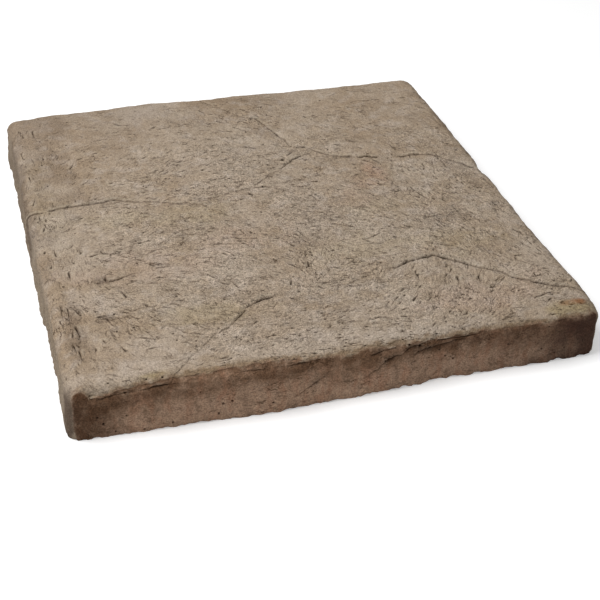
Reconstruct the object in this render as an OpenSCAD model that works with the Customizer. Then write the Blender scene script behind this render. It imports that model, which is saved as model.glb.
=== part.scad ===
// Hearth slab of manufactured stone veneer: a square slab of cast stone with a riven slate face.
//
// It is one piece. Lightweight concrete is poured into a flexible mould taken from real slate,
// face down, so the face and all four edges come out of the mould with the texture of the
// stone, and the back is struck off flat to make the bed that sits in the mortar.
//
// Millimetres. The origin is the centre of the bed. +Z points up through the riven face, and
// the front edge is towards -Y.

/* [Slab] */
// Width along the front edge
slab_w = 508; // [406:1:610]
// Depth from the front edge to the back edge
slab_d = 508; // [406:1:610]
// Height of the riven face above the bed, at its general level
slab_t = 53.5; // [44:0.5:66]

/* [Edges] */
// Radius of the four upright corners, seen from above
corner_r = 15; // [8:1:22]
// How far in from the edge the rolled arris starts
arris_in = 13; // [8:1:18]
// How far down the edge the rolled arris ends
arris_down = 6; // [4:0.5:10]
// How much further out the bed stands than the arris, on each edge
batter = 2.5; // [0:0.5:5]
// How far the cast texture of an edge stands in and out
edge_rough = 1.6; // [0:0.2:2.4]
// How far the lip round the bed is broken away
lip_chip = 2.2; // [0.5:0.1:4]

/* [Riven face] */
// Height of the step where one layer of the slate ends over the next
layer_step = 1.8; // [0:0.2:3]
// How far the face falls away towards its edges
pillow = 1.6; // [0:0.2:3]
// How far the face rises and falls in long waves
swell = 1.1; // [0:0.1:2]
// How far it rises and falls in short ripples
ripple = 0.6; // [0:0.1:1]
// Height of the thin plates that the slate has split off in between its seams
plate_step = 0.8; // [0:0.1:1.2]

/* [Seams] */
// Depth of an open seam below the face
seam_deep = 2.8; // [1:0.2:5]
// Width of an open seam at the face
seam_wide = 2.4; // [1.5:0.1:5]

/* [Hidden] */

drawn_size = 508;      // the width and depth that the routes and edge lines below are drawn for
drawn_t = 53.5;        // the height that the fissures are drawn for
grid_n = 50;           // steps across the face, each way
grid_tighten = 0.3;    // how much closer the steps are at the edges than in the middle
arris_steps = 4;       // steps round the rolled arris
arris_curve = 1.9;     // how late the arris turns down: 1 is a plain slope
arris_wander = 0.35;   // share by which the arris reaches further down here than there
seam_pitch = 14;       // longest step along a seam
step_run = 9;          // how far a step between layers takes to fall
valley_run = 11;       // how far to each side of a seam its worn shoulders reach
valley_deep = 1.1;     // how far those shoulders fall
lip_high = 3;          // height of the broken lip above the bed

half = [slab_w / 2, slab_d / 2];
stretch = [slab_w / drawn_size, slab_d / drawn_size];

// Seams between the layers of the slate. The first two run across the face, from left to right,
// the third runs back from where the layers meet, and the last is a short spur.
middle_seam = [[-262, 40], [-205, 40], [-185, 45], [-155, 45], [-135, 35], [-95, 20], [-75, 25],
    [-35, 30], [-10, 40], [5, 50], [30, 70], [60, 100], [70, 105], [85, 90], [105, 80], [125, 70],
    [180, 65], [200, 60], [220, 45], [235, 25], [262, 20]];
front_seam = [[-175, -262], [-155, -240], [-115, -200], [-100, -190], [-75, -165], [-60, -155],
    [-25, -155], [20, -145], [55, -145], [100, -135], [125, -130], [145, -140], [155, -150],
    [190, -180], [215, -200], [235, -205], [262, -215]];
back_seam = [[60, 100], [50, 130], [40, 155], [30, 185], [10, 195], [-5, 215], [-20, 235],
    [-25, 262]];
spur_seam = [[-95, 20], [-75, 15], [-65, 0], [-50, -15]];

// Fissures in the front edge, as [place along the edge, height above the bed]
front_fissure = [[-10, 20], [10, 20], [25, 30], [30, 35], [45, 40], [60, 45], [75, 40], [100, 40],
    [125, 45]];
corner_fissure = [[-240, 40], [-220, 45], [-195, 40]];

// Where each edge stands in or out of a straight line, as [place along the edge, how far out].
// Front and back are read along X, and left and right along Y.
front_line = [[-254, -2], [-230, -2.5], [-190, 0], [-130, 0.5], [-90, 4], [-60, 4], [-30, 1.5],
    [10, 2], [50, 1], [90, -4], [110, -2], [150, -2.5], [190, -1], [215, -2.5], [254, -1.5]];
back_line = [[-254, -5], [-230, -4.5], [-200, -1], [-170, 2.5], [-110, 4], [-90, 5.5], [-50, 2],
    [-30, -2.5], [10, -3.5], [30, 0], [60, 1.5], [110, 1], [150, -1], [210, 2.5], [235, -1],
    [254, -5]];
left_line = [[-254, 3.5], [-210, 2.5], [-170, 0.5], [-90, -1], [-40, -0.5], [50, -1], [70, -2.5],
    [130, -3.5], [190, -5], [254, -3.5]];
right_line = [[-254, -1], [-220, 2], [-190, 1], [-165, -1], [-90, -2.5], [-60, -1.5], [-30, -2.5],
    [10, -2], [24, -5.5], [42, -2], [75, -1.5], [110, -2.5], [130, -1], [155, -3], [190, -2.5],
    [254, -4.5]];

// How much further down than elsewhere the front arris reaches, along the edge
front_arris = [[-245, 0], [-235, 7], [-220, 7], [-210, 3], [-190, 1.5], [-90, 0], [0, 0],
    [30, 2.5], [45, 3], [60, 1], [80, 1.5], [95, 3.5], [110, 1], [150, 0.5], [160, 2.5], [175, 0.5],
    [205, 2.5], [220, 1], [254, 0.5]];

// A repeatable random number from 0 to 1 for each whole-numbered place
function chance(i, j, seed) =
    let (v = sin(i * 127.1 + j * 311.7 + seed * 74.7) * 43758.5453) v - floor(v);

function ease(t) = let (c = min(max(t, 0), 1)) c * c * (3 - 2 * c);
function blend(a, b, t) = a + (b - a) * t;

// Smooth random waves from -1 to 1, one unit apart
function waves(x, y, seed) =
    let (i = floor(x), j = floor(y), u = ease(x - i), v = ease(y - j))
    2 * blend(blend(chance(i, j, seed), chance(i + 1, j, seed), u),
              blend(chance(i, j + 1, seed), chance(i + 1, j + 1, seed), u), v) - 1;

// Waves of a given length, with half as much again at under half that length
function rough(x, y, long, seed) =
    (waves(x / long, y / long, seed) + 0.5 * waves(x / long * 2.3, y / long * 2.3, seed + 1)) / 1.5;

// A seam's place across its own run, at a place along it
function seam_y(route, x) = lookup(x / stretch.x, route) * stretch.y;
function seam_x(route, y) = lookup(y / stretch.y, [for (p = route) [p.y, p.x]]) * stretch.x;

// How far behind the seams a point lies: each is positive on the higher layer's side
function past_middle(p) = p.y - seam_y(middle_seam, p.x);
function past_front(p) = p.y - seam_y(front_seam, p.x);
function past_back(p) = seam_x(back_seam, p.y) - p.x;

function valley(d) = -valley_deep * exp(-pow(d / valley_run, 2) * 3);

// The layers of the slate: each seam has a step, with the layer behind it the higher
function layers(p) =
    let (behind = ease(past_middle(p) / step_run + 0.5))
    layer_step * (ease(past_front(p) / step_run + 0.5) - 1)
    + layer_step * 0.6 * behind
    - layer_step * 0.4 * behind * ease(past_back(p) / step_run + 0.5)
    + valley(past_middle(p)) + valley(past_front(p)) + valley(past_back(p)) * behind;

// Thin plates, nearly flat on top, that end in low ledges
function plates(p) =
    let (n = 2.2 * rough(p.x, p.y, 95, 12), i = floor(n))
    plate_step * (i + ease((n - i - 0.5) * 4 + 0.5));

// How far a point lies inside the slab's nearest edge
function inside(p) = min(half.x - abs(p.x), half.y - abs(p.y));

// Height of the riven face
function face_z(p) =
    slab_t + layers(p) + plates(p) + swell * rough(p.x, p.y, 130, 3) + ripple * rough(p.x, p.y, 34, 8)
    - pillow * (1 - ease((inside(p) - arris_in / 2) / 34));

// Places across the face, from -1 to 1, which lie closer together towards both edges
function spaced(k) = let (t = 2 * k / grid_n - 1) t + grid_tighten * sin(180 * t) / 180 * 57.3;

// The loop round the edges has grid_n stations a side: front, right, back, left
loop_n = 4 * grid_n;
function side_of(k) = floor(k / grid_n) % 4;
function along(k) = spaced(k % grid_n);
function square_at(k) =
    let (t = along(k))
    [[t, -1], [1, t], [-t, 1], [-1, -t]][side_of(k)];

// How far the slab's own outline moves a place, given on a square from -1 to 1: fully at the
// edges, and hardly at all over most of the face
function warp(q) =
    let (at = q * drawn_size / 2)
    [sign(q.x) * pow(q.x, 4) * lookup(at.y, q.x > 0 ? right_line : left_line),
     sign(q.y) * pow(q.y, 4) * lookup(at.x, q.y > 0 ? back_line : front_line)];

// A place on an outline moved in by an inset, with round corners, and its outward direction
function outline(q, inset) =
    let (size = half - [inset, inset],
         r = max(corner_r - inset, 2),
         p = [q.x * size.x, q.y * size.y],
         c = [sign(q.x) * (size.x - r), sign(q.y) * (size.y - r)],
         v = p - c,
         in_corner = abs(p.x) > abs(c.x) && abs(p.y) > abs(c.y),
         reach = max(abs(v.x), abs(v.y)),
         out = in_corner ? v / norm(v) : abs(q.x) > abs(q.y) ? [sign(q.x), 0] : [0, sign(q.y)])
    [in_corner ? c + out * reach : p, out];

// The mould's texture on an edge: deeper on the arris, and shallower towards the bed
function edge_texture(p, z) =
    edge_rough * blend(0.35, 1, ease(z / slab_t))
    * (rough(p.x + 0.4 * z, p.y + 1.3 * z, 34, 21) + 0.3 * rough(p.x - z, p.y + 1.7 * z, 13, 27));

// One point on the edge of the slab, at a place on the square, an inset and a height
function edge_point(q, inset, z) =
    let (o = outline(q, inset),
         p = o[0] + warp(q) + o[1] * (edge_texture(o[0], z) - 1))
    [p.x, p.y, z];

// The face's outermost points, where the arris starts
function rim_point(q) =
    let (p = edge_point(q, arris_in, slab_t)) [p.x, p.y, face_z(p)];

// How far the arris falls at a place on the square, by the end of its roll
function arris_fall(q) =
    arris_down * (1 + arris_wander * rough(q.x, q.y, 0.2, 51))
    + (q.y == -1 ? lookup(q.x * drawn_size / 2, front_arris) : 0);

// The rolled arris, from just below the rim to the upright edge, which it meets at a sharp line
function arris_ring(t) =
    [for (k = [0 : loop_n - 1])
        let (q = square_at(k))
        edge_point(q, arris_in * (1 - t) + batter,
                   rim_point(q).z - arris_fall(q) * pow(t, arris_curve))];

// The upright edge, which leans out towards the bed
function face_ring(z) =
    [for (k = [0 : loop_n - 1]) edge_point(square_at(k), batter * z / (slab_t - arris_down), z)];

// The lip round the bed, broken away by an uneven amount
function lip_ring(z) =
    [for (k = [0 : loop_n - 1])
        let (q = square_at(k), chip = lip_chip * (0.6 + 0.4 * rough(q.x, q.y, 0.07, 33)))
        edge_point(q, chip * (1 - z / lip_high), z)];

// Point on the face's grid. The outermost ones are the rim, and the rest fill in evenly between.
function face_point(q) =
    let (size = half - [1, 1] * (arris_in + batter), p = [q.x * size.x, q.y * size.y] + warp(q))
    [p.x, p.y, face_z(p)];

function on_border(i, j) = i == 0 || j == 0 || i == grid_n || j == grid_n;

rings = concat(
    [for (n = [1 : arris_steps]) arris_ring(n / arris_steps)],
    [for (z = [0.45, 0.25, 0.12]) face_ring(slab_t * z)],
    [lip_ring(lip_high), lip_ring(lip_high / 3), lip_ring(0)]);

// The slab before its seams are opened: the face's grid, the rings down its edges, and the bed.
// Each cell of the grid is split along whichever of its two diagonals is the more level, so that
// the steps between layers come out clean whichever way they run.
module cast_slab() {
    side = grid_n + 1;
    face_count = side * side;
    face = [for (j = [0 : grid_n], i = [0 : grid_n])
        let (q = [spaced(i), spaced(j)])
        on_border(i, j) ? rim_point(q) : face_point(q)];
    corner = function(i, j) j * side + i;
    rim = [for (k = [0 : loop_n - 1])
        let (s = side_of(k), m = k % grid_n)
        s == 0 ? corner(m, 0) : s == 1 ? corner(grid_n, m)
        : s == 2 ? corner(grid_n - m, grid_n) : corner(0, grid_n - m)];
    ring = function(n, k) n == 0 ? rim[k % loop_n] : face_count + (n - 1) * loop_n + k % loop_n;
    bed = face_count + len(rings) * loop_n;
    polyhedron(
        points = concat(face, [for (r = rings) each r], [[0, 0, 0]]),
        faces = concat(
            [for (j = [0 : grid_n - 1], i = [0 : grid_n - 1])
                let (a = corner(i, j), b = corner(i + 1, j), c = corner(i + 1, j + 1),
                     d = corner(i, j + 1),
                     level = abs(face[a].z - face[c].z) < abs(face[b].z - face[d].z))
                each (level ? [[a, c, b], [a, d, c]] : [[a, d, b], [b, d, c]])],
            [for (n = [0 : len(rings) - 1], k = [0 : loop_n - 1])
                each [[ring(n, k), ring(n, k + 1), ring(n + 1, k + 1)],
                      [ring(n, k), ring(n + 1, k + 1), ring(n + 1, k)]]],
            [for (k = [0 : loop_n - 1]) [ring(len(rings), k), ring(len(rings), k + 1), bed]]),
        convexity = 4);
}

// Height of the slab's skin above a point, which rolls down over the arris outside the rim
function skin_z(p) =
    let (t = min(max(1 - (inside(p) - batter) / arris_in, 0), 1))
    face_z(p) - arris_down * pow(t, arris_curve);

// How far towards -Y the front edge stands, at a place along it and a height
function front_y(x, z) =
    -half.y + batter * z / (slab_t - arris_down) + 1
    - lookup(x / stretch.x, front_line) - edge_texture([x, -half.y], z);

// A route with steps no longer than seam_pitch, stretched to the slab's size
function stepped(route) = [
    for (i = [0 : len(route) - 2])
        let (n = ceil(norm(route[i + 1] - route[i]) / seam_pitch))
        for (k = [0 : n - 1]) blend(route[i], route[i + 1], k / n),
    route[len(route) - 1]];

// A V-shaped groove along a row of places on the skin, pointing down into the slab before it is
// turned, with a share of the full depth at each place
module groove(path, turn, share) {
    last = len(path) - 1;
    module blade(i) {
        size = share(i / last);
        translate(path[i]) rotate(turn) translate([0, 0, -seam_deep * size])
            cylinder(h = 3 * seam_deep * size, d1 = 0, d2 = 3 * seam_wide * size, $fn = 6);
    }
    for (i = [0 : last - 1]) hull() {
        blade(i);
        blade(i + 1);
    }
}

// An open seam across the face
module open_seam(route, share) {
    groove([for (p = stepped(route)) let (x = p.x * stretch.x, y = p.y * stretch.y)
        [x, y + 1.4 * waves(x / 6, 0, 41), skin_z([x, y])]], 0, share);
}

// A fissure along the front edge, below the arris
module open_fissure(route, share) {
    groove([for (p = stepped(route)) let (x = p.x * stretch.x, z = p.y * slab_t / drawn_t)
        [x, front_y(x, z), z]], [90, 0, 0], share);
}

// Shares of the full depth along a seam
function even(t) = 1;
function faded_middle(t) = 0.35 + 0.65 * abs(2 * t - 1);
function shallow(t) = 0.75;
function running_out(t) = 0.8 - 0.5 * t;
function tapered(t) = 0.35 + 0.4 * sin(180 * t);

module hearth_slab() {
    color("#a08f7c") difference() {
        cast_slab();
        open_seam(middle_seam, function(t) even(t));
        open_seam(front_seam, function(t) faded_middle(t));
        open_seam(back_seam, function(t) shallow(t));
        open_seam(spur_seam, function(t) running_out(t));
        open_fissure(front_fissure, function(t) tapered(t));
        open_fissure(corner_fissure, function(t) tapered(t));
    }
}

hearth_slab();
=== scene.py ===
import math

import bpy
import numpy as np
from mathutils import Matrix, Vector, noise
from mathutils.bvhtree import BVHTree
from mathutils.geometry import delaunay_2d_cdt
from mathutils.kdtree import KDTree


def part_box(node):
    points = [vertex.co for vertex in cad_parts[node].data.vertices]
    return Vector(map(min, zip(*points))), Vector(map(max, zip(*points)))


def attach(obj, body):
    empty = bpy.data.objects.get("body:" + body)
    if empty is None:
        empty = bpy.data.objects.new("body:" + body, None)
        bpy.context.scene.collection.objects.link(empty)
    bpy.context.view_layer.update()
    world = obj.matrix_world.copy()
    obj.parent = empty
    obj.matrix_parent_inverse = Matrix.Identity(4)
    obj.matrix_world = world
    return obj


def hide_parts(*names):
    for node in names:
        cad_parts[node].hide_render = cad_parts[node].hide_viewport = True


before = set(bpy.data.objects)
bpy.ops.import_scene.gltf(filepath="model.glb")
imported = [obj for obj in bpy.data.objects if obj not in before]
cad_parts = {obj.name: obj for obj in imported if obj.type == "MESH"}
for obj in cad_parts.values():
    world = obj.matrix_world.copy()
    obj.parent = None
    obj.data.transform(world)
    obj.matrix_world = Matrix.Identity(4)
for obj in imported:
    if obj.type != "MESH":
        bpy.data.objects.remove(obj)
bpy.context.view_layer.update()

# ---------------------------------------------------------------------------------------------
# THE CASTING'S SKIN
# The real slab is one piece of lightweight concrete, poured face down in a rubber mould that was
# taken from riven slate. The mould forms the face, the rolled arris and the four edges in one
# sweep. So the skin is made here as one sheet, laid over the CAD solid like a cloth on a table.
# ---------------------------------------------------------------------------------------------
MM = 0.001
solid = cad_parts["hearth_slab"]
low, high = [np.array(corner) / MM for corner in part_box("hearth_slab")]

inset = 22.0                   # how far in from the solid's box the sheet starts to bend down
bend = 32.0                    # length of skin in the bend
bend_z = high[2] - 16.0        # height at which the sheet has turned upright
fall = bend + bend_z           # length of skin from the flat face down to the bed
flat_low = low[:2] + inset     # two corners of the part that lies flat
flat_high = high[:2] - inset
sheet_low = flat_low - fall
sheet_high = flat_high + fall


def spread(sheet):
    """For places on the sheet, where the skin is looked for from inside the slab, and which way."""
    flat = np.clip(sheet, flat_low, flat_high)
    over = sheet - flat
    down = np.abs(over).max(axis=1)
    outward = over / np.maximum(np.linalg.norm(over, axis=1), 1e-9)[:, None]
    turn = np.minimum(down / bend, 1.0) * math.pi / 2
    start = np.column_stack([flat, bend_z - np.maximum(down - bend, 0.0)])
    look = np.column_stack([outward * np.sin(turn)[:, None], np.cos(turn)])
    return start, look


def smoothed(grid):
    """A grid of heights with its facets rolled away."""
    for axis in (0, 1):
        ends = [(2, 2) if a == axis else (0, 0) for a in (0, 1)]
        padded = np.pad(grid, ends, mode="edge")
        size = grid.shape[axis]
        slices = [np.take(padded, range(k, k + size), axis=axis) for k in range(5)]
        grid = (slices[0] + 4 * slices[1] + 6 * slices[2] + 4 * slices[3] + slices[4]) / 16
    return grid


def closed(grid):
    """A grid of heights with its narrow grooves filled, so that the seams can be cut afresh."""
    for pick in (np.maximum, np.minimum):
        for axis in (0, 1):
            for _ in range(2):
                ends = [(1, 1) if a == axis else (0, 0) for a in (0, 1)]
                padded = np.pad(grid, ends, mode="edge")
                size = grid.shape[axis]
                before, after = [np.take(padded, range(k, k + size), axis=axis) for k in (0, 2)]
                grid = pick(pick(before, after), grid)
    return grid


# The solid's surface is felt for from inside, and its facets are smoothed out.
feel = 3.0                     # distance between the places where it is felt for
feel_low = 0.3                 # least height above the bed to feel from
feel_x = np.arange(sheet_low[0], sheet_high[0] + feel, feel)
feel_y = np.arange(sheet_low[1], sheet_high[1] + feel, feel)
felt_places = np.array([(x, y) for x in feel_x for y in feel_y])
felt_places = np.clip(felt_places, sheet_low, sheet_high)
tree = BVHTree.FromObject(solid, bpy.context.evaluated_depsgraph_get())
felt = []
for start, look in zip(*spread(felt_places)):
    start[2] = max(start[2], feel_low)
    felt.append(tree.ray_cast(Vector(start * MM), Vector(look))[3] / MM)
felt = smoothed(closed(np.array(felt).reshape(len(feel_x), len(feel_y))))


def lay(sheet, proud):
    """Places on the sheet laid on the slab, standing proud of its general surface, in mm."""
    start, look = spread(sheet)
    at = (sheet - sheet_low) / feel
    cell = np.clip(np.floor(at).astype(int), 0, np.array(felt.shape) - 2)
    a, b = (at - cell).T
    i, j = cell.T
    reach = ((1 - a) * (1 - b) * felt[i, j] + a * (1 - b) * felt[i + 1, j]
             + (1 - a) * b * felt[i, j + 1] + a * b * felt[i + 1, j + 1])
    return start + look * (reach + proud)[:, None]


def front(x, z):
    """The place on the sheet of a point on the front edge."""
    return x, flat_low[1] - fall + z


def left(y, z):
    """The place on the sheet of a point on the left edge."""
    return flat_low[0] - fall + z, y


# ---------------------------------------------------------------------------------------------
# SEAMS
# Where one layer of the slate ended over the next, the mould left a thin open line with a worn
# lip on its upper side. Each is given as (x, y, strength) along the sheet, from left to right.
# ---------------------------------------------------------------------------------------------
seams = [
    # the middle seam, from the left edge to where the layers meet
    [(*left(50, 20), 0.7), (*left(45, 35), 1.1), (-250, 40, 1.1), (-235, 35, 0.6),
     (-220, 40, 0.8), (-190, 42, 1.1), (-175, 42, 0.8), (-160, 45, 1.2), (-135, 35, 0.5),
     (-110, 28, 0.8), (-95, 22, 1.1), (-75, 25, 0.6), (-55, 25, 0.8), (-35, 30, 0.8),
     (-15, 35, 0.9), (0, 35, 1.0), (10, 30, 0.4)],
    [(-10, 40, 0.6), (5, 52, 0.5), (15, 60, 0.4), (30, 70, 0.6), (45, 85, 0.9), (55, 90, 0.9),
     (65, 95, 0.3)],
    [(-90, 22, 0.6), (-75, 15, 0.8), (-65, 0, 0.6), (-50, -15, 0.2)],
    # the back seam, from the back edge down to where the layers meet
    [(-25, 262, 0.4), (-20, 235, 0.6), (-5, 215, 0.5), (5, 200, 0.4), (10, 192, 0.3),
     (25, 185, 1.1), (30, 182, 1.2), (35, 170, 0.9), (40, 155, 0.7), (45, 140, 0.8),
     (50, 130, 0.6), (50, 115, 0.5)],
    # the right seam
    [(55, 110, 1.0), (62, 110, 1.1), (70, 105, 0.9), (80, 92, 0.8), (90, 85, 0.7),
     (105, 78, 1.4), (110, 78, 1.1), (115, 75, 0.2), (120, 72, 1.3), (125, 72, 1.4),
     (135, 68, 0.9), (145, 68, 0.2), (160, 65, 0.3), (165, 65, 1.0), (180, 65, 1.0),
     (200, 60, 1.2), (210, 50, 0.7), (220, 42, 0.9), (235, 25, 1.2), (250, 20, 1.2),
     (285, 20, 0.5)],
    [(225, 160, 0.4), (238, 145, 0.7), (240, 120, 0.4)],
    [(48, 135, 0.3), (50, 118, 0.6)],
    # the front seam, which runs down the front edge at its left end
    [(-180, -290, 0.2), (-170, -265, 0.3), (-155, -240, 0.4), (-145, -228, 0.3),
     (-130, -215, 0.2), (-115, -200, 0.6), (-100, -192, 0.4), (-90, -182, 0.8),
     (-75, -165, 0.9), (-60, -157, 1.2), (-50, -155, 1.2), (-45, -155, 0.3), (0, -155, 0.2),
     (20, -150, 0.4), (30, -152, 1.0), (40, -148, 0.8), (50, -145, 0.3), (70, -142, 0.3),
     (85, -138, 1.0), (100, -132, 1.4), (115, -130, 1.5), (125, -128, 1.5), (140, -138, 1.1),
     (155, -150, 1.0), (165, -158, 1.1), (180, -168, 1.0), (190, -182, 0.9), (205, -193, 0.9),
     (220, -202, 1.3), (235, -205, 0.8), (250, -210, 0.8), (285, -222, 0.2)],
]

# Height of the sharp line where the arris meets the front edge, as (x, height above the bed)
front_break = [(-255, 51), (-245, 51), (-235, 44), (-220, 44), (-210, 49), (-190, 52),
               (-175, 55), (-145, 54), (-120, 56), (-60, 56), (-45, 51), (-30, 51), (-20, 48),
               (-5, 46), (5, 48), (15, 52), (45, 50), (65, 51), (80, 51), (90, 48), (100, 49),
               (135, 52), (160, 50), (190, 49), (205, 47), (220, 49), (255, 51)]
plain_break = 48.5             # its height on the other edges, where it is faint

# Fissures along the front edge, as (x, height above the bed, strength)
fissures = [
    [(-10, 20, 0.3), (10, 20, 0.4), (25, 28, 0.8), (30, 35, 1.4), (40, 38, 1.2), (47, 38, 0.6),
     (55, 45, 1.4), (70, 47, 0.7)],
    [(60, 36, 0.4), (70, 38, 1.3), (80, 40, 0.9), (90, 40, 0.7), (100, 43, 1.3), (110, 43, 0.6)],
    [(20, 44, 0.6), (30, 46, 0.8), (40, 46, 0.6)],
    [(-235, 42, 0.7), (-225, 40, 0.9), (-215, 43, 0.9), (-205, 46, 0.6), (-198, 45, 0.2)],
    [(-192, 46, 0.3), (-180, 48, 1.1), (-170, 48, 0.8), (-160, 48, 0.2)],
    [(-105, 49, 0.3), (-90, 49, 0.7), (-80, 48, 0.3)],
    [(-62, 48, 0.3), (-50, 48, 0.9), (-40, 48, 0.6), (-30, 49, 0.4)],
    [(-55, 14, 0.4), (-40, 22, 0.6), (-25, 31, 0.3)],
    [(85, 47, 0.8), (100, 46, 0.6), (112, 46, 1.1), (125, 47, 0.6)],
]
seams += [[(*front(x, z), strength) for x, z, strength in line] for line in fissures]


def hum(x, y, size, seed):
    """Natural noise from about -1 to 1 at a place on the sheet, for a size in mm."""
    return noise.noise(Vector((x / size, y / size, seed * 7.7)))


def walk(line, pitch, wander):
    """Stations a pitch apart along a line: x, y, strength, half width, and the way across."""
    line = np.array(line, float)
    run = np.concatenate([[0], np.cumsum(np.linalg.norm(np.diff(line[:, :2], axis=0), axis=1))])
    marks = np.linspace(0, run[-1], max(int(run[-1] / pitch), 2) + 1)
    x, y, strength = [np.interp(marks, run, line[:, k]) for k in range(3)]
    x += [wander * (0.9 * hum(a, b, 7, 1) + 0.6 * hum(a, b, 2.7, 2)) for a, b in zip(x, y)]
    y += [wander * (0.9 * hum(a, b, 7, 3) + 0.6 * hum(a, b, 2.7, 4)) for a, b in zip(x, y)]
    strength *= [1 + 0.6 * hum(a, b, 9, 5) + 0.5 * hum(a, b, 3.3, 6) for a, b in zip(x, y)]
    along = np.gradient(np.column_stack([x, y]), axis=0)
    along /= np.linalg.norm(along, axis=1)[:, None]
    return np.column_stack([x, y, strength, 0.45 + 0.3 * strength, -along[:, 1], along[:, 0]])


seam_pitch = 1.3               # spacing of the stations along a seam
seam_wander = 1.0              # how far a seam strays from its line
seam_stations = np.concatenate([walk(line, seam_pitch, seam_wander) for line in seams])

# ---------------------------------------------------------------------------------------------
# GOUGES AND PITS OF THE FACE
# The slate was scratched and flaked, so the casting is full of short nicks: each has a deep
# head and a tail that fades out along the way the stone was dressed.
# ---------------------------------------------------------------------------------------------
# The plainest nicks, as (x, y, length, direction in degrees, strength), from head to tail
nicks = [
    (-150, -40, 12, 10, 1.0), (-145, -80, 14, 0, 1.0), (-110, -37, 22, 0, 0.8),
    (-90, -30, 11, -30, 0.6), (-78, -60, 24, -10, 1.0), (-50, -65, 9, -25, 0.7),
    (-95, -80, 12, -10, 0.8), (-75, -78, 9, -35, 0.8), (-98, -108, 12, -50, 0.9),
    (-76, -135, 15, 105, 0.9), (-165, -143, 8, -40, 0.8), (-150, -150, 9, -25, 0.8),
    (-125, -160, 12, -35, 0.6), (-26, -143, 7, 70, 1.0), (0, -118, 7, 85, 1.0),
    (15, -86, 9, 145, 1.0), (10, -60, 8, 120, 0.6), (-52, -172, 12, 50, 0.7),
    (-200, -52, 12, 20, 0.9), (-188, -50, 16, -15, 0.6), (-190, -98, 27, 20, 1.2),
    (-194, -95, 7, 80, 1.0), (-180, -125, 12, 105, 1.0), (-210, -150, 11, 0, 1.0),
    (-203, -155, 12, -75, 0.7), (-175, -147, 14, 5, 0.7), (-203, -175, 12, -75, 0.6),
    (-196, -203, 8, 110, 1.0), (-180, -190, 14, -25, 0.9), (-175, -207, 12, 0, 0.9),
    (-225, -75, 12, -90, 0.8), (-235, -130, 26, -95, 0.6), (-245, -125, 20, -90, 0.5),
    (-250, -145, 18, -80, 0.6), (-232, -160, 17, -85, 1.0), (-235, -195, 14, -85, 0.8),
    (-240, -187, 9, -80, 0.7), (-222, 205, 18, -86, 0.6), (-235, 210, 14, -95, 0.5),
    (-245, 165, 12, -80, 0.8), (-230, 148, 12, -85, 0.5), (-240, 110, 9, -85, 0.8),
    (0, 165, 22, -40, 0.8), (-15, 183, 12, -35, 0.7), (35, 120, 10, -10, 0.8),
    (43, 95, 13, 40, 0.6), (-78, 105, 10, 5, 0.7), (120, 65, 14, -40, 0.9),
    (132, 62, 7, -50, 1.0), (183, 44, 8, -90, 0.9), (196, 47, 25, -105, 0.4),
    (155, -12, 18, -65, 1.0), (177, -30, 9, -75, 0.7), (155, -48, 8, -75, 0.6),
    (220, -46, 28, -65, 0.5), (225, -105, 11, -55, 0.8), (235, -142, 14, -75, 0.8),
    (205, -148, 10, -5, 0.6), (170, -180, 12, 25, 0.6), (195, -216, 20, 15, 1.0),
    (168, -225, 11, -10, 0.8), (145, -60, 18, 5, 0.9), (105, -52, 18, -45, 0.9),
    (128, -104, 12, -40, 0.7), (140, -113, 16, -20, 0.8), (85, -80, 18, -160, 0.9),
    (65, -60, 20, 150, 1.0), (45, -40, 9, -35, 0.7), (0, -150, 8, -45, 1.1),
    (30, -156, 13, -10, 0.8), (98, -155, 8, -100, 0.8), (135, -167, 12, -105, 1.1),
    (156, -170, 10, -100, 0.9), (80, -192, 10, 45, 1.1), (94, -195, 8, 40, 0.8),
    (35, -210, 16, -10, 0.8), (60, -213, 12, -20, 0.7), (180, -178, 20, -140, 0.4),
]

# The plainest round pits, as (x, y, strength)
pits = [
    (-246, -35, 1.2), (-233, -96, 1.0), (-228, -122, 0.8), (-225, -142, 0.8), (-135, -135, 1.2),
    (-66, -88, 0.8), (-10, -68, 0.7), (-18, 96, 0.9), (16, 97, 0.9), (-57, 82, 1.0),
    (-75, 46, 0.9), (-54, 43, 0.8), (85, -125, 0.9), (146, -167, 0.9), (136, -186, 0.9),
    (125, -198, 0.9), (97, -207, 0.9), (182, -57, 1.2), (233, -120, 0.9), (-190, 168, 0.8),
    (-178, 50, 1.0), (-134, -12, 0.8), (-154, -12, 1.0), (-198, -176, 0.8),
]

# Which way the scratches run, as (x, y, degrees): up the slab at its left edge, in arcs at the
# front, and mostly across it elsewhere
sweeps = [
    (-232, 180, 84), (-234, 60, 86), (-234, -80, 88), (-232, -180, 88), (-150, -40, 6),
    (-140, 20, 4), (-120, -80, 10), (-60, -75, -36), (-30, -95, -42), (5, -115, 78),
    (-170, -140, -8), (-190, -180, -60), (-150, -180, -30), (-130, -220, 4), (20, -30, -18),
    (60, -40, -28), (110, -60, -30), (150, -20, -60), (175, -60, -70), (30, -150, -4),
    (90, -190, 42), (140, -175, 74), (200, -212, 10), (-130, 120, 25), (-60, 100, 12),
    (0, 175, -40), (60, 150, -20), (130, 180, -10), (190, 110, -30), (190, 40, -80),
    (-150, 200, 8), (220, -110, -66), (60, -225, 6), (-40, -225, 4),
]
sweep_at = np.array(sweeps, float)


def sweep(x, y):
    """The way the scratches run at a place, in degrees, from the nearest of the sweeps."""
    near = 1 / (np.hypot(sweep_at[:, 0] - x, sweep_at[:, 1] - y) + 12) ** 3
    twice = np.radians(2 * sweep_at[:, 2])
    return math.degrees(math.atan2(near @ np.sin(twice), near @ np.cos(twice))) / 2


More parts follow.
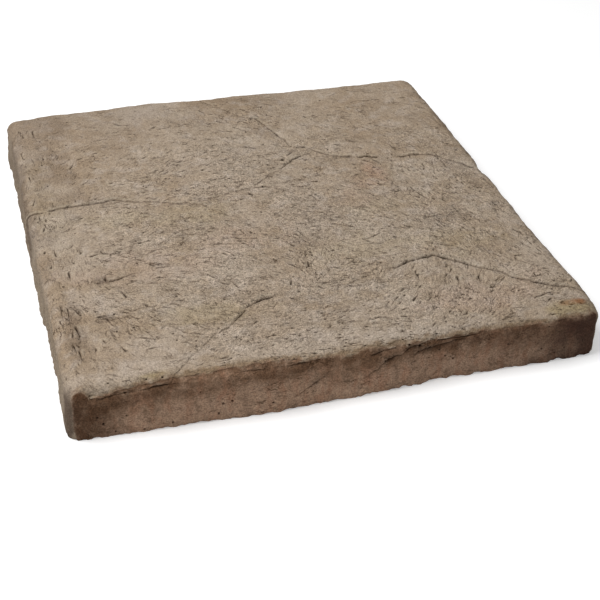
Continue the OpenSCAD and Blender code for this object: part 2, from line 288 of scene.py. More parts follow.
def lively(x, y):
    """How thickly the face is scratched at a place: most in front of its middle."""
    share = np.interp(y, (-236, -215, -60, 20, 100, 170, 230), (0.8, 1.2, 1.65, 1.35, 1.1, 0.8, 0.4))
    share *= np.interp(x, (-200, -150, -90, 60, 120, 200, 250),
                       (0.75, 0.85, 1.2, 1.25, 1.05, 1.1, 0.9))
    return float(share * (1 + 0.6 * hum(x, y, 60, 7)))


rng = np.random.default_rng(20)
plainest = len(nicks)
faint_nicks = 1150
faint_pits = 420
while faint_nicks:
    x, y = rng.uniform(-250, 250), rng.uniform(-250, 250)
    if rng.random() < lively(x, y) / 1.7:
        length = min(rng.lognormal(1.5, 0.5), 16)
        way = sweep(x, y) + rng.normal(0, 17) + rng.choice([0, 180])
        nicks.append((x, y, length, way, rng.uniform(0.2, 0.8) ** 1.3))
        faint_nicks -= 1
while faint_pits:
    x, y = rng.uniform(-250, 250), rng.uniform(-250, 250)
    if rng.random() < 0.4 + 0.6 * hum(x, y, 70, 8) + (0.35 if x > 40 and y < -90 else 0):
        pits.append((x, y, rng.uniform(0.25, 0.85)))
        faint_pits -= 1

nick_pitch = 1.7               # spacing of the stations along a nick
nick_wander = 0.4              # how far a nick strays from its line
scratches = []
for order, (x, y, length, way, strength) in enumerate(nicks):
    curl = rng.normal(0, 8 if order < plainest else 24)    # how far it bends, head to tail
    points = [(x, y, strength)]
    for t, left_over in ((0.33, 0.7), (0.67, 0.4), (1.0, 0.12)):
        facing = math.radians(way + curl * (t - 0.5))
        x += length / 3 * math.cos(facing)
        y += length / 3 * math.sin(facing)
        points.append((x, y, strength * left_over))
    scratches.append(walk(points, nick_pitch, nick_wander))
scratches = np.concatenate(scratches)
scratches[:, 3] = 0.45 + 0.95 * scratches[:, 2]    # a deeper nick is wider

# Each pit is a station of its own.
pits = np.array([(x, y, strength, 0.45 + strength, 1, 0) for x, y, strength in pits])

# ---------------------------------------------------------------------------------------------
# AIR HOLES OF THE EDGES
# Air caught against the mould as the concrete was poured left round holes, mostly low down.
# ---------------------------------------------------------------------------------------------
# Those of the front edge, as (x, height above the bed, radius)
air_holes = [
    (-190, 3, 1.3), (-215, 5, 1.0), (-230, 22, 0.9), (-225, 14, 1.3), (-205, 20, 0.9),
    (-165, 6, 1.1), (-120, 18, 1.3), (-112, 20, 1.3), (-124, 8, 1.2), (-140, 34, 0.8),
    (-75, 12, 1.1), (-35, 25, 1.0), (30, 36, 0.8), (75, 28, 0.8), (92, 26, 1.2), (100, 22, 1.2),
    (85, 35, 0.9), (75, 40, 1.2), (65, 44, 1.4), (155, 28, 1.0), (190, 18, 1.1), (205, 10, 0.9),
    (215, 14, 0.9), (235, 20, 1.3), (-235, 45, 1.4), (-205, 45, 1.2), (55, 48, 1.3),
    (195, 42, 1.0),
]
air_holes = [(*front(x, z), r) for x, z, r in air_holes]
for side in range(3):          # the right, back and left edges have holes of their own
    for _ in range(24):
        along, z = rng.uniform(-235, 235), rng.uniform(2, 44) * rng.uniform(0.3, 1)
        edge = flat_high + fall - z
        place = [(edge[0], along), (along, edge[1]), left(along, z)][side]
        air_holes.append((*place, rng.uniform(0.6, 1.3)))
holes = np.array([(x, y, 1.3 * r, r, 1, 0) for x, y, r in air_holes])
dents = np.concatenate([scratches, pits, holes])

# ---------------------------------------------------------------------------------------------
# THE SHEET'S POINTS
# Points lie about 2 mm apart over the whole skin, and closer along every seam, nick and hole,
# so that each of these has real walls and a real floor.
# ---------------------------------------------------------------------------------------------
pitch = 2.4                    # spacing of the points in plain stone
clear = 1.25                   # how close a plain point may come to those of a nick or seam
bed_pitch = 9.0                # spacing of the points of the flat bed
corner_share = 0.4             # share of points kept where the sheet is gathered at a corner
closest = 0.38                 # how close two points of a nick, seam or hole may come


def beside(stations, shares):
    """Points beside each station, at shares of its half width to either side."""
    return [stations[:, :2] + stations[:, 4:] * (share * stations[:, 3])[:, None]
            for share in shares]


# Every seam and nick has points down its middle, on its shoulders and a little way off.
plainer = scratches[scratches[:, 2] > 0.5]
detail = beside(seam_stations, (0, 1, -1, 2.6, -2.6)) + beside(scratches, (0, 1.2, -1.2))
detail += beside(plainer, (2.2, -2.2))
rounds = np.concatenate([pits, holes])
detail.append(rounds[:, :2])
for count, reach in ((4, 0.5), (7, 1.15)):    # a ring halfway out, and one just past the rim
    for angle in np.linspace(0, 2 * math.pi, count + 1)[:-1]:
        ray = np.array([math.cos(angle), math.sin(angle)])
        detail.append(rounds[:, :2] + ray * rounds[:, 3:4] * reach)


def break_down(sheet):
    """How far down the sheet the sharp lower line of the arris lies, at places on the sheet."""
    stray = [2.0 * hum(x, y, 14, 9) + 1.7 * hum(x, y, 5, 10) for x, y in sheet]
    line = np.interp(sheet[:, 0], *np.array(front_break).T)
    is_front = sheet[:, 1] < flat_low[1]
    return fall - np.where(is_front, line, plain_break) + stray


# Three rows of points follow the sharp line along the front.
by_line = 24.0                 # about how far down the line lies
break_x = np.arange(sheet_low[0] + fall, sheet_high[0] - fall, 1.5)
row = np.column_stack([break_x, np.full(len(break_x), flat_low[1] - by_line)])
for out in (-0.9, 0.0, 0.9):
    detail.append(row - [[0, 1]] * (break_down(row) - by_line + out)[:, None])
detail = np.concatenate(detail)
detail = detail[np.all((detail > sheet_low + 1) & (detail < sheet_high - 1), axis=1)]
_, first = np.unique(np.round(detail / closest).astype(int), axis=0, return_index=True)
detail = detail[np.sort(first)]

plain = np.array([(x, y) for x in np.arange(sheet_low[0] + pitch / 2, sheet_high[0], pitch)
                  for y in np.arange(sheet_low[1] + pitch / 2, sheet_high[1], pitch)])
plain += rng.uniform(-0.3, 0.3, plain.shape) * pitch
gathered = np.all((plain < flat_low) | (plain > flat_high), axis=1)
plain = plain[~gathered | (rng.random(len(plain)) < corner_share)]
taken = set()
for i, j in np.floor(detail / clear).astype(int):
    taken.update((i + a, j + b) for a in (-1, 0, 1) for b in (-1, 0, 1))
cells = np.floor(plain / clear).astype(int)
plain = plain[[(i, j) not in taken for i, j in cells]]
plain = plain[np.all((plain > sheet_low + 0.9) & (plain < sheet_high - 0.9), axis=1)]


def rim(start, end):
    """Points along one side of the sheet, wider apart where it is gathered at the corners."""
    length = np.linalg.norm(np.subtract(end, start))
    gather = np.arange(0, fall, pitch / corner_share)
    middle = np.linspace(fall, length - fall, int((length - 2 * fall) / pitch) + 1)
    marks = np.concatenate([gather, middle, length - gather[:0:-1]])
    return np.array(start) + np.outer(marks / length, np.subtract(end, start))


corners = [sheet_low, (sheet_high[0], sheet_low[1]), sheet_high, (sheet_low[0], sheet_high[1])]
border = np.concatenate([rim(corners[k], corners[(k + 1) % 4]) for k in range(4)])
sheet = np.concatenate([border, detail, plain])
sheet, _, sheet_faces, *_ = delaunay_2d_cdt([Vector(p) for p in sheet], [], [], 0, 1e-3)
sheet = np.array(sheet)

# ---------------------------------------------------------------------------------------------
# RELIEF
# How far each point stands proud of the general surface, in mm: long waves, thin plates that
# end in low ledges, the scaly grain of riven slate, the ragged arris, and then every cut.
# ---------------------------------------------------------------------------------------------
rest_places = lay(sheet, np.zeros(len(sheet)))


def rough(size, octaves=3, seed=0, stretch=(1, 1, 1)):
    """Natural noise over the slab, from about -1 to 1, for a size in mm."""
    places = rest_places * np.array(stretch) / size + seed * 11.3
    return np.array([noise.fractal(Vector(p), 1.0, 2.0, octaves) for p in places])


def ease(t):
    """A share from 0 to 1 that starts and ends gently."""
    t = np.clip(t, 0, 1)
    return t * t * (3 - 2 * t)


def ledges(size, seed, sharp, stretch=(1, 1, 1)):
    """Flat plates whose edges are sharp steps, from a slow noise cut into levels."""
    levels = 3.2 * rough(size, 4, seed, stretch)
    tread = np.floor(levels)
    return tread + ease((levels - tread - 0.5) * sharp + 0.5)


down = np.abs(sheet - np.clip(sheet, flat_low, flat_high)).max(axis=1)
on_edge = ease((down - 24) / 14)           # 0 on the face, 1 on the upright edges

# Waves, plates and grain, then the plates of the front arris and the cast texture of the edges
proud = 0.35 * rough(38, 3, 1) + 0.34 * rough(11, 3, 2)
proud += 0.2 * ledges(60, 3, 8) + 0.17 * ledges(24, 4, 7, (1, 1.6, 1))
proud += 0.2 * rough(4.5, 2, 5)
by_arris = np.exp(-((down - 8) / 12) ** 2) * (sheet[:, 1] < flat_low[1] + 30)
proud += 0.4 * by_arris * ledges(15, 9, 6, (0.45, 1.9, 1.2))
proud += on_edge * (0.4 * rough(18, 5, 6) + 0.25 * ledges(13, 7, 5, (1, 1, 2.2)))

# The arris is a worn, scaly roll. Along the front it ends in a ragged line with a hollow below
# it, and on the other edges it fades into the upright part. over_front is how far a place lies
# over the front edge, less how far it lies over a side edge.
below = down - break_down(sheet)
past = np.maximum(flat_low - sheet, sheet - flat_high)
over_front = flat_low[1] - sheet[:, 1] - np.maximum(past[:, 0], 0)
sharp = 0.2 + 0.8 * ease(over_front / 12 + 0.5)
scaly = rough(12, 4, 13, (0.6, 0.6, 2.0))
lip = np.exp(-np.maximum(-below, 0) / 4) * (0.6 + 0.9 * scaly)
rolled = np.clip((down - 7) / 14, 0, 1.4) ** 2 * (1.3 + 1.1 * scaly) * (sheet[:, 1] < flat_low[1])
hollow = np.exp(-np.maximum(below, 0) / 8) * (-1.1 - 1.1 * rough(15, 3, 14, (0.6, 0.6, 1.8)))
turned = ease(below * sharp / 1.6 + 0.5)
proud += (sharp * lip * ease(down / 14) - rolled) * (1 - turned) + sharp * hollow * turned
# Dark fines and painted shade in the cuts, and pale wear and painted highlight on their lips
dirt_and_shade = np.zeros(len(sheet))
worn = np.zeros(len(sheet))


def nearest(stations, reach):
    """The points of the sheet within reach of a row of stations, and each one's own station."""
    tree = KDTree(len(stations))
    for k, (x, y) in enumerate(stations[:, :2]):
        tree.insert((x, y, 0), k)
    tree.balance()
    found = [tree.find((x, y, 0))[1:] for x, y in sheet]
    picked = np.array([k for k, apart in found])
    apart = np.array([apart for k, apart in found])
    near = np.nonzero(apart < reach)[0]
    own = stations[picked[near]]
    across = ((sheet[near] - own[:, :2]) * own[:, 4:]).sum(axis=1)
    return near, apart[near], across, own[:, 2], own[:, 3]


# The seams: a worn lip on the upper side, and a narrow cleft. The cleft is darkened with dark fines
# and painted shade, its lower side with painted shade, and the lip is paled with wear and painted
# highlight.
near, apart, across, strength, width = nearest(seam_stations, 14)
fade = np.clip(strength, 0, 1.4)
seam_lip = np.where(across > 0, 0.4 * np.exp(-((apart - 2.2) / 2.2) ** 2), -0.25 * np.exp(-apart / 4))
cleft = 1.6 * np.clip(1.25 - apart / width, 0, 1) ** 0.7
proud[near] += fade * (seam_lip - cleft)
broken = np.clip([0.8 + 0.9 * hum(x, y, 4.5, 15) for x, y in sheet[near]], 0.3, 1.3)
dirt_and_shade[near] = 0.75 * fade * broken * np.exp(-(apart / (0.9 * width)) ** 2)
# Painted shade on the seam's lower side
dirt_and_shade[near] += 0.15 * fade ** 2 * np.exp(-(apart / (2.2 * width)) ** 2) * (across < 0)
# Pale wear and painted highlight on the upper lip
worn[near] = 0.55 * fade * np.exp(-((apart - 2.0) / 0.9) ** 2) * (across > 0)

# The nicks, pits and air holes: a bowl with a slight burr round it, the bowl darkened with dark fines
# and painted shade, and the burr paled with wear and painted highlight
near, apart, across, strength, width = nearest(dents, 4)
bowl = np.clip(1.9 - 1.7 * apart / width, 0, 1)
burr = np.exp(-((apart / width - 2.1) / 0.6) ** 2) * strength
proud[near] += 0.25 * burr - (0.4 + 1.2 * strength) * bowl
dirt_and_shade[near] = np.maximum(dirt_and_shade[near], np.clip(0.2 + 1.1 * strength, 0, 1) * bowl)
worn[near] = np.maximum(worn[near], 0.7 * burr)

# The lip round the bed is broken away, and nothing sinks below the bed.
chip_high = 5.0                # height above the bed that the chips reach
least_z = 0.05                 # only the skin's border touches the bed
proud -= np.clip(1 - rest_places[:, 2] / chip_high, 0, 1) * np.maximum(1.1 + 2.4 * rough(8, 4, 8), 0)
skin = lay(sheet, proud)
skin[:, 2] = np.where(down >= fall - 0.01, 0.0, np.maximum(skin[:, 2], least_z))
skin = np.clip(skin, low, high)

# ---------------------------------------------------------------------------------------------
# THE BED
# The back of the casting, struck off flat with a board while it was wet. It closes the skin.
# ---------------------------------------------------------------------------------------------
bed_rim = 13.0                 # how far inside the slab's box the bed's own points start
loop = len(border)
loop_xy = skin[:loop, :2]
bed_x = np.arange(low[0], high[0], bed_pitch)
bed_y = np.arange(low[1], high[1], bed_pitch)
inner = np.array([(x, y) for x in bed_x for y in bed_y])
inner += rng.uniform(-0.25, 0.25, inner.shape) * bed_pitch
inner = inner[np.all((inner > low[:2] + bed_rim) & (inner < high[:2] - bed_rim), axis=1)]
bed_points = [Vector(p) for p in np.concatenate([loop_xy, inner])]
bed, _, bed_faces, *_ = delaunay_2d_cdt(bed_points, [], [list(range(loop))], 1, 1e-6)
bed = np.array(bed)
drag = np.array([noise.fractal(Vector((x / 60, y / 9, 5)), 1.0, 2.0, 3) for x, y in bed])
bed = np.column_stack([bed, np.clip(0.25 + 0.35 * drag, 0, 0.8)])

# The bed's first points are the border of the skin, and are shared with it.
offset = len(skin) - loop
places = np.concatenate([skin, bed[loop:]])
faces = [tuple(face) for face in sheet_faces]
faces += [tuple(k if k < loop else k + offset for k in reversed(face)) for face in bed_faces]
mesh = bpy.data.meshes.new("cast_slab")
mesh.from_pydata((places * MM).tolist(), [], faces)
mesh.shade_smooth()
mesh.set_sharp_from_angle(angle=math.radians(60))
slab = bpy.data.objects.new("cast_slab", mesh)
bpy.context.scene.collection.objects.link(slab)

# The skin is already one flat sheet, so that sheet is its map, with the bed in a strip beside it.
skin_share = 0.8               # share of the map that the skin takes, each way
map_gap = 0.01                 # gap between the skin and the bed
sheet_map = (sheet - sheet_low) / (sheet_high - sheet_low) * (skin_share - map_gap)


def bed_strip(points):
    """Places of the bed in the strip of the map beside the skin."""
    at = (points[:, :2] - low[:2]) / (high[:2] - low[:2])
    return np.column_stack([skin_share + at[:, 0] * (1 - skin_share), at[:, 1] * skin_share])


corner_of = np.zeros(len(mesh.loops), int)
mesh.loops.foreach_get("vertex_index", corner_of)
places_map = np.concatenate([sheet_map, bed_strip(bed[loop:])])[corner_of]
bed_corner = np.arange(len(corner_of)) >= 3 * len(sheet_faces)
on_rim = bed_corner & (corner_of < loop)
places_map[on_rim] = bed_strip(loop_xy)[corner_of[on_rim]]
flat_map = mesh.uv_layers.new(name="OFBake")
flat_map.uv.foreach_set("vector", places_map.astype(np.float32).ravel())

# ---------------------------------------------------------------------------------------------
# STAINS AND PAINTED SHADE
# Colour was dusted into the mould by hand, so the casting has broad patches: pale bloom, ochre,
# pink, a rust spot, and dark ones along its edges, some of which are painted shade. Each is kept
# as a share painted on the points.
# ---------------------------------------------------------------------------------------------
# Each patch is (x, y, half length, half width, strength) on the sheet. Shade is the dark places
# of the front edge: brown stain at its left end, and painted shade in strips right under the arris.
# Dusk is painted shade over its dark right end, and damp is the dark brown patches elsewhere, part
# damp-looking stain and part painted shade along the left, right and back edges and the face's right.
patches = {
    "bloom": [(-90, 222, 30, 14, 0.6), (-152, -38, 34, 44, 0.6), (0, -30, 70, 34, 0.6),
              (-31, 40, 50, 44, 0.5), (-50, 92, 60, 24, 0.4), (-90, -92, 60, 26, 0.5),
              (70, -95, 60, 26, 0.4), (-30, -222, 60, 12, 0.9), (-200, -68, 34, 20, 0.6),
              (-212, -128, 26, 18, 0.8), (-60, -110, 70, 30, 0.4), (-56, -60, 60, 30, 0.5),
              (-40, -150, 60, 30, 0.5), (-190, -234, 60, 12, 1.0), (-40, -234, 70, 13, 0.9),
              (60, -240, 60, 9, 0.8), (130, -196, 40, 16, 0.4), (-150, -60, 50, 26, 0.5),
              (225, -170, 20, 30, 0.6), (30, 20, 60, 30, 0.5), (100, -20, 50, 26, 0.4),
              (-30, -216, 46, 12, 0.6), (-90, 0, 100, 40, 0.4), (-60, -200, 60, 30, 0.5),
              (60, -206, 60, 26, 0.5), (-150, -210, 50, 24, 0.5)],
    "ochre": [(-176, -244, 18, 7, 1.0), (226, -242, 34, 11, 1.0), (-234, 60, 20, 60, 0.3),
              (-110, 0, 70, 22, 0.4), (60, -100, 60, 22, 0.35), (110, -30, 40, 20, 0.3),
              (-120, -170, 50, 16, 0.5), (160, -110, 40, 24, 0.3)],
    "rust": [(236, -230, 9, 4, 1.0), (225, -231, 8, 3, 0.6)],
    "pink": [(122, 45, 13, 24, 1.0), (108, 20, 14, 14, 0.6), (88, -10, 20, 14, 0.3),
             (-150, -80, 60, 26, 0.3), (-60, -60, 50, 20, 0.3), (140, -200, 60, 26, 0.4)],
    # Brown stain at the front edge's left end, and painted shade in strips right under the arris
    "shade": [(*front(-206, 40), 50, 14, 0.42), (*front(-278, 18), 64, 64, 0.85),
              (*front(80, 42), 70, 12, 0.6), (*front(-20, 46), 90, 8, 0.45),
              (*front(-150, 47), 60, 7, 0.4), (*front(150, 44), 60, 6, 0.4),
              (*front(-184, 20), 7, 14, 0.35)],
    # Painted shade over the right end of the front edge, darkest at its corner
    "right_end_shade": [(*front(310, 20), 205, 300, 0.42), (*front(280, 10), 96, 300, 1.1),
             (*front(270, -6), 120, 26, 0.9)],
    # Damp-looking stains, and painted shade along the left, right and back edges and the face's right
    "damp_and_shade": [(*left(-258, 10), 26, 30, 0.85), (*left(30, 34), 20, 26, 0.7),
             (*left(150, 30), 26, 110, 0.4), (*left(100, 46), 16, 130, 0.55),
             (*front(276, 2), 76, 24, 0.4), (*front(264, 36), 9, 14, 0.9),
             (*front(250, 6), 14, 7, 0.8), (-215, 222, 50, 34, 0.35), (-120, 228, 70, 22, 0.2),
             (30, 230, 60, 20, 0.15), (-222, 150, 30, 110, 0.28), (-248, 190, 12, 50, 0.4),
             (-236, -160, 12, 40, 0.4), (40, -24, 36, 20, 0.1), (15, -78, 16, 10, 0.3),
             (52, -40, 20, 8, 0.2), (-196, -96, 8, 6, 0.6), (-206, -156, 9, 7, 0.6),
             (226, -52, 8, 14, 0.25), (46, 100, 12, 10, 0.35), (160, -60, 26, 18, 0.2),
             (-150, 190, 60, 50, 0.12), (31, 155, 26, 22, 0.14), (217, 31, 24, 28, 0.15),
             (-254, 190, 12, 80, 0.4), (0, 266, 250, 14, 0.3), (225, -10, 8, 14, 0.3),
             (268, 60, 22, 300, 0.6), (-262, 90, 20, 150, 0.35), (-206, 50, 44, 16, 0.12),
             (-120, 214, 130, 36, 0.14), (-244, 110, 10, 110, 0.25), (-240, -10, 14, 30, 0.3),
             (-252, 195, 16, 70, 0.4), (-252, 60, 12, 40, 0.3)],
}
# The front edge is browner below the arris's ragged line, and darkest right under it: a brown stain,
# with painted shade right under the arris.
on_front = ease((over_front + 9 * rough(12, 3, 33)) / 12 + 1.1)    # 1 on the front edge
under = 0.67 * (1 - ease((below - 9) / 36)) + 0.25 * np.exp(-np.maximum(below, 0) / 5)
under *= 1 + 0.6 * rough(16, 4, 32)
flaky = rough(6, 4, 34, (0.6, 0.6, 1.6))
front_tone = ease((below + 2.5 + 4 * flaky) / 6) * on_front
worn *= 1 - 0.8 * front_tone
faded = ease((below + 8 + 7 * flaky) / 24)
fields = {"dirt_and_shade": dirt_and_shade, "worn": worn, "edge": faded * (1 - on_front), "front": front_tone,
          "under": turned * on_front * under,
          # Painted shade where the arris rolls over to the front edge
          "roll": ease((below + 13 + 8 * flaky) / 13) * (1 - turned) * on_front}
frayed = rough(24, 4, 31)
for name, spots in patches.items():
    fray = {"right_end_shade": 0.25, "shade": 0.45}.get(name, 0.8)    # how ragged the patch's outline is
    field = np.zeros(len(sheet))
    for x, y, wide, deep, strength in spots:
        apart = np.hypot((sheet[:, 0] - x) / wide, (sheet[:, 1] - y) / deep)
        field = np.maximum(field, strength * ease(1.4 - apart + fray * frayed))
    fields[name] = field
fields["shade"] *= front_tone
fields["right_end_shade"] *= front_tone
# How lively the scratches are is kept at half its value, as a share can't be more than 1.
on_face = np.clip(sheet, flat_low, flat_high)
fields["lively"] = np.array([lively(x, y) for x, y in on_face]) / 2
fields["lively"] *= 1 - 0.15 * front_tone

for name, field in fields.items():
    whole = np.zeros(len(places))
    whole[:len(field)] = np.clip(field, 0, 1)
    layer = mesh.attributes.new(name, "FLOAT", "POINT")
    layer.data.foreach_set("value", whole.astype(np.float32))

# The way the scratches run, kept for each face to the nearest eighth of a half turn. On the
# edges they run level.
middles = sheet[np.array([list(face) for face in sheet_faces])].mean(axis=1)
flat = np.clip(middles, flat_low, flat_high)
beyond = np.abs(middles - flat)
level = np.where(beyond[:, 0] > beyond[:, 1], 90, 0)
upright = beyond.max(axis=1) > 20
ways = np.where(upright, level, [sweep(x, y) + 9 * hum(x, y, 30, 11) for x, y in flat])
way_step = 22.5                # an eighth of a half turn, in degrees
whole = np.zeros(len(faces))
whole[:len(ways)] = np.radians(np.round(ways / way_step) * way_step)
layer = mesh.attributes.new("way", "FLOAT", "FACE")
layer.data.foreach_set("value", whole.astype(np.float32))

# ---------------------------------------------------------------------------------------------
# CAST STONE
# Lightweight concrete coloured right through with iron oxide, cast against rubber: dead matt,
# sandy, mottled from tan to grey-brown, with dark fines and painted shade in every nick.
# ---------------------------------------------------------------------------------------------
def linear(code):
    """A colour written as sRGB hex, as the linear RGBA that a shader takes."""
    values = [int(code[k:k + 2], 16) / 255 for k in (1, 3, 5)]
    return [v / 12.92 if v <= 0.04045 else ((v + 0.055) / 1.055) ** 2.4 for v in values] + [1.0]


stone = bpy.data.materials.new("cast_stone")
stone.use_nodes = True
nodes, links = stone.node_tree.nodes, stone.node_tree.links
nodes.clear()


def add(kind, inputs=(), **settings):
    """One node of the material in hand, with its settings, and its inputs set or linked."""
    made = nodes.new(kind)
    for name, value in settings.items():
        setattr(made, name, value)
    for socket, value in dict(inputs).items():
        if isinstance(value, bpy.types.NodeSocket):
            links.new(value, made.inputs[socket])
        else:
            made.inputs[socket].default_value = value
    return made


def maths(operation, a, b, c=0.0):
    """The result of one sum in the material in hand."""
    return add("ShaderNodeMath", {0: a, 1: b, 2: c}, operation=operation).outputs[0]


def painted(name):
    """A share that was painted on the slab's points."""
    return add("ShaderNodeAttribute", attribute_name=name).outputs["Fac"]


def cut(pattern, low_cut, high_cut):
    """A pattern cut to a share from 0 at one level to 1 at another."""
    return add("ShaderNodeMapRange", {"Value": pattern, "From Min": low_cut, "From Max": high_cut,
                                      "To Min": 0.0, "To Max": 1.0}).outputs["Result"]


def over(share, below, above):
    """One colour laid over another by a share."""
    return add("ShaderNodeMix", {0: share, 6: below, 7: above}, data_type="RGBA").outputs[2]


METRE = 1.0 / MM               # pattern scales are one over a size in metres
where = add("ShaderNodeTexCoord").outputs["Object"]
wander = add("ShaderNodeTexNoise", {"Vector": where, "Scale": METRE / 24, "Detail": 2.0})
drift = add("ShaderNodeVectorMath", {0: wander.outputs["Color"], "Scale": 14 * MM},
            operation="SCALE").outputs[0]
drawn = add("ShaderNodeVectorMath", {0: where, 1: drift}, operation="ADD").outputs[0]


def mottle(size_mm, detail, seed=0.0):
    """Cloudy noise of a given size."""
    shifted = add("ShaderNodeVectorMath", {0: where, 1: (seed, seed, seed)}, operation="ADD")
    return add("ShaderNodeTexNoise", {"Vector": shifted.outputs[0], "Scale": METRE / size_mm,
                                      "Detail": detail, "Roughness": 0.6}).outputs["Fac"]


turned_by = add("ShaderNodeCombineXYZ", {"Z": painted("way")}).outputs[0]


def brushed(long_mm, short_mm):
    """The slab's space turned the way the scratches run, and drawn out along them."""
    return add("ShaderNodeMapping", {"Vector": drawn, "Rotation": turned_by,
                                     "Scale": (long_mm * MM, short_mm * MM, short_mm * MM)},
               vector_type="TEXTURE").outputs[0]


def chipped(long_mm, short_mm, reach, kept):
    """Short dark dashes, one to a cell of the given size, in a share of the cells."""
    cells = add("ShaderNodeTexVoronoi", {"Vector": brushed(long_mm, short_mm), "Scale": 1.0,
                                         "Randomness": 1.0})
    picked = add("ShaderNodeSeparateColor", {0: cells.outputs["Color"]}).outputs[0]
    return maths("MULTIPLY", cut(cells.outputs["Distance"], reach, reach * 0.8),
                 cut(picked, 1 - kept, 1.15 - kept))


# One noise drawn out along the scratches gives both the pale ridges and the dark chips.
flecks = add("ShaderNodeTexNoise", {"Vector": brushed(5, 1.8), "Scale": 1.0, "Detail": 4.0,
                                    "Roughness": 0.66}).outputs["Fac"]
chips = maths("MULTIPLY", cut(flecks, 0.39, 0.30), cut(mottle(15, 3.0, 9.0), 0.36, 0.6))
dashes = maths("MULTIPLY", chipped(9, 3.2, 0.28, 0.10), 0.7)
veins = add("ShaderNodeTexNoise", {"Vector": brushed(20, 5.5), "Scale": 1.0, "Detail": 3.0})
veins = maths("ABSOLUTE", maths("SUBTRACT", veins.outputs["Fac"], 0.5), 0.0)
veins = maths("MULTIPLY", cut(veins, 0.02, 0.005), cut(mottle(12, 3.0, 12.0), 0.48, 0.62))
vigour = maths("MULTIPLY", painted("lively"), 2.0)
dashes = maths("MAXIMUM", maths("MAXIMUM", chips, dashes), veins)
dashes = maths("MULTIPLY", dashes, maths("MINIMUM", vigour, 1.2))
scales = mottle(5.0, 4.0, 3.0)
flakes = mottle(6.5, 4.0, 17.0)
sand = mottle(1.45, 1.0, 5.0)  # drawn coarser than the real grains, which are under 1 mm


def flaked(name, raggedness):
    """A painted stain with a flaky, mottled outline."""
    swing = maths("MULTIPLY", maths("SUBTRACT", flakes, 0.5), raggedness)
    swing = maths("MULTIPLY", swing, cut(painted(name), 0.0, 0.3))
    return cut(maths("ADD", painted(name), swing), 0.15, 0.85)


# The dry tan stone in its three mottled tones, then each stain and each painted shade over it
tone = over(cut(mottle(90, 4), 0.35, 0.66), linear("#9a8772"), linear("#aa9b8a"))
tone = over(maths("MULTIPLY", cut(mottle(26, 4, 1.0), 0.42, 0.72), 0.6), tone, linear("#8c7963"))
tone = over(maths("MULTIPLY", cut(mottle(17, 3, 2.0), 0.5, 0.7), 0.45), tone, linear("#b5a89c"))
tone = over(maths("MULTIPLY", painted("bloom"), 0.45), tone, linear("#b8aa9c"))
tone = over(maths("MULTIPLY", painted("ochre"), 0.5), tone, linear("#97865f"))
tone = over(maths("MULTIPLY", painted("pink"), 0.45), tone, linear("#a5836e"))
# The upright edges other than the front: their own grey-brown tone, darkened further as painted shade
tone = over(maths("MULTIPLY", painted("edge"), 0.75), tone, linear("#7b6e5e"))
# Painted shade on the front arris's roll, just above its ragged line
tone = over(maths("MULTIPLY", flaked("roll", 1.6), 0.75), tone, linear("#7b664e"))
tone = over(maths("MULTIPLY", painted("front"), 0.85), tone, linear("#9c7f69"))

# Rusty and sooty clouds on the front edge, drawn out up and down it
upright_drawn = add("ShaderNodeMapping", {"Vector": drawn, "Scale": (9 * MM, 9 * MM, 26 * MM)},
                    vector_type="TEXTURE").outputs[0]
runs = add("ShaderNodeTexNoise", {"Vector": upright_drawn, "Scale": 1.0, "Detail": 4.0})
runs = runs.outputs["Fac"]
rusty = maths("MULTIPLY", cut(runs, 0.46, 0.66), painted("front"))
tone = over(maths("MULTIPLY", rusty, 0.5), tone, linear("#865c45"))
soot = maths("MULTIPLY", cut(runs, 0.46, 0.30), painted("front"))
tone = over(maths("MULTIPLY", soot, 0.4), tone, linear("#5f4a3b"))
# A brown stain and painted shade under the front arris
tone = over(maths("MULTIPLY", flaked("under", 0.6), 0.9), tone, linear("#654c39"))
# A brown stain and painted shade on the front edge
tone = over(maths("MULTIPLY", flaked("shade", 0.8), 0.85), tone, linear("#402a1a"))
# Painted shade over the front edge's right end
tone = over(maths("MULTIPLY", painted("right_end_shade"), 0.88), tone, linear("#34211b"))
tone = over(maths("MULTIPLY", painted("rust"), 0.75), tone, linear("#86552f"))
# Damp-looking stains and painted shade along the edges
tone = over(maths("MULTIPLY", painted("damp_and_shade"), 0.8), tone, linear("#3e2c23"))


def shaded(pattern, amount, reach, so_far):
    """A shade of grain added to those so far, darker by an amount where the pattern is high."""
    centred = maths("SUBTRACT", cut(pattern, 0.5 - reach, 0.5 + reach), 0.5)
    return maths("MULTIPLY_ADD", centred, -amount, so_far)


# The grain, from scales and flecks down to sand, with pale dust and painted highlight on worn lips,
# and dark fines and painted shade in cuts
grain = shaded(scales, 0.2, 0.2, shaded(flecks, -0.26, 0.18, 0.0))
grain = maths("MULTIPLY_ADD", grain, vigour, maths("MULTIPLY_ADD", vigour, 0.18, 0.91))
sandy = maths("MAXIMUM", maths("MAXIMUM", vigour, 0.95), maths("MULTIPLY", painted("front"), 1.2))
grain = maths("MULTIPLY_ADD", shaded(sand, 0.4, 0.15, 0.0), sandy, grain)
tone = add("ShaderNodeVectorMath", {0: tone, "Scale": grain}, operation="SCALE").outputs[0]
# Pale wear and painted highlight on the lips of seams and the burrs of nicks
tone = over(maths("MULTIPLY", painted("worn"), 0.5), tone, linear("#cbbda8"))
tone = over(maths("MULTIPLY", dashes, 0.75), tone, linear("#3f2c1a"))
# Dark fines and painted shade in the seams, nicks, pits and holes
tone = over(painted("dirt_and_shade"), tone, linear("#27190d"))

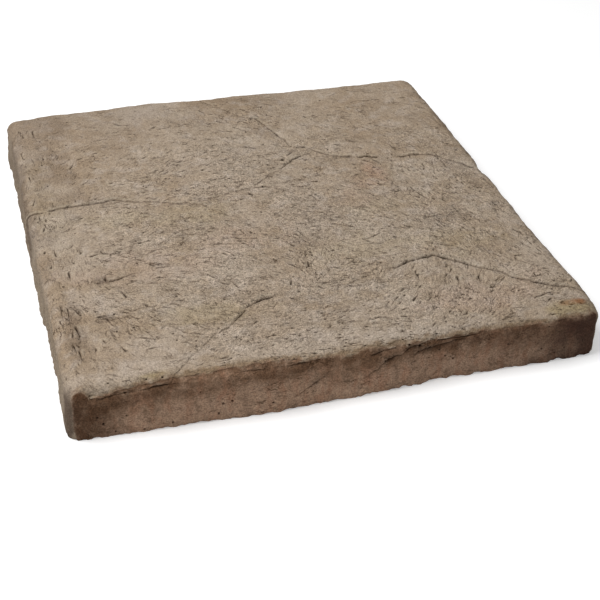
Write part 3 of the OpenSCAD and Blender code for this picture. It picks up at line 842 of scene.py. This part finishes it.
# The same patterns as the finest relief
height = maths("ADD", maths("MULTIPLY", scales, 3.4), maths("MULTIPLY", sand, 0.9))
height = maths("ADD", height, maths("MULTIPLY", flecks, 2.2))
height = maths("MULTIPLY", height, vigour)
height = maths("SUBTRACT", height, maths("MULTIPLY", dashes, 0.8))
bump = add("ShaderNodeBump", {"Height": height, "Strength": 0.85, "Distance": 1.0 * MM})
surface = add("ShaderNodeBsdfPrincipled",
              {"Base Color": tone, "Normal": bump.outputs["Normal"], "Roughness": 0.92,
               "IOR": 1.5, "Specular IOR Level": 0.08})
add("ShaderNodeOutputMaterial", {"Surface": surface.outputs[0]})
mesh.materials.append(stone)

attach(slab, "root")
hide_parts("hearth_slab")

# ---------------------------------------------------------------------------------------------
# THE STUDIO
# A plain pale floor, a large soft light high on the left and a pale room round it.
# ---------------------------------------------------------------------------------------------
floor_half = 6.0               # in metres, as everything of the studio is
floor_z = -0.0002              # just clear of the bed
floor_corners = [(-floor_half, -floor_half, floor_z), (floor_half, -floor_half, floor_z),
                 (floor_half, floor_half, floor_z), (-floor_half, floor_half, floor_z)]
floor_mesh = bpy.data.meshes.new("floor")
floor_mesh.from_pydata(floor_corners, [], [(0, 1, 2, 3)])
floor = bpy.data.objects.new("floor", floor_mesh)
bpy.context.scene.collection.objects.link(floor)


def seen():
    """1 for what the camera sees, straight or through a reflection or glass, and 0 for light."""
    ray = add("ShaderNodeLightPath").outputs
    mirrored = maths("MAXIMUM", ray["Is Glossy Ray"], ray["Is Transmission Ray"])
    return maths("MAXIMUM", ray["Is Camera Ray"], mirrored)


# Matt white background paper, which glows a little so that it stays pale
paper = bpy.data.materials.new("white_paper")
paper.use_nodes = True
nodes, links = paper.node_tree.nodes, paper.node_tree.links
nodes.clear()
diffuse = add("ShaderNodeBsdfDiffuse", {"Color": linear("#f2f2f2")})
glow = add("ShaderNodeEmission", {"Color": (1, 1, 1, 1), "Strength": maths("MULTIPLY", seen(), 0.25)})
both = add("ShaderNodeAddShader", {0: diffuse.outputs[0], 1: glow.outputs[0]})
add("ShaderNodeOutputMaterial", {"Surface": both.outputs[0]})
floor_mesh.materials.append(paper)

scene = bpy.context.scene
world = bpy.data.worlds.new("room")
scene.world = world
world.use_nodes = True
nodes, links = world.node_tree.nodes, world.node_tree.links
nodes.clear()
room = add("ShaderNodeBackground", {"Color": (1, 1, 1, 1), "Strength": 0.474})
backdrop = add("ShaderNodeBackground", {"Color": (1, 1, 1, 1), "Strength": 1.0})
mixed = add("ShaderNodeMixShader", {0: seen(), 1: room.outputs[0], 2: backdrop.outputs[0]})
add("ShaderNodeOutputWorld", {"Surface": mixed.outputs[0]})

key = bpy.data.lights.new("key", "AREA")
key.shape = "RECTANGLE"
key.size, key.size_y = 1.1, 1.1
key.energy = 38.7
key_lamp = bpy.data.objects.new("key", key)
key_lamp.location = (-1.15, 0.05, 1.95)
key_lamp.rotation_euler = (-key_lamp.location).to_track_quat("-Z", "Y").to_euler()
scene.collection.objects.link(key_lamp)

lens = bpy.data.cameras.new("camera")
lens.sensor_width = 36.0
lens.lens = 74.91
camera = bpy.data.objects.new("camera", lens)
camera.location = (-0.3349, -1.0541, 0.7392)
camera.rotation_euler = [math.radians(turn) for turn in (53.795, -2.671, -17.341)]
scene.collection.objects.link(camera)
scene.camera = camera
scene.view_settings.view_transform = "Standard"
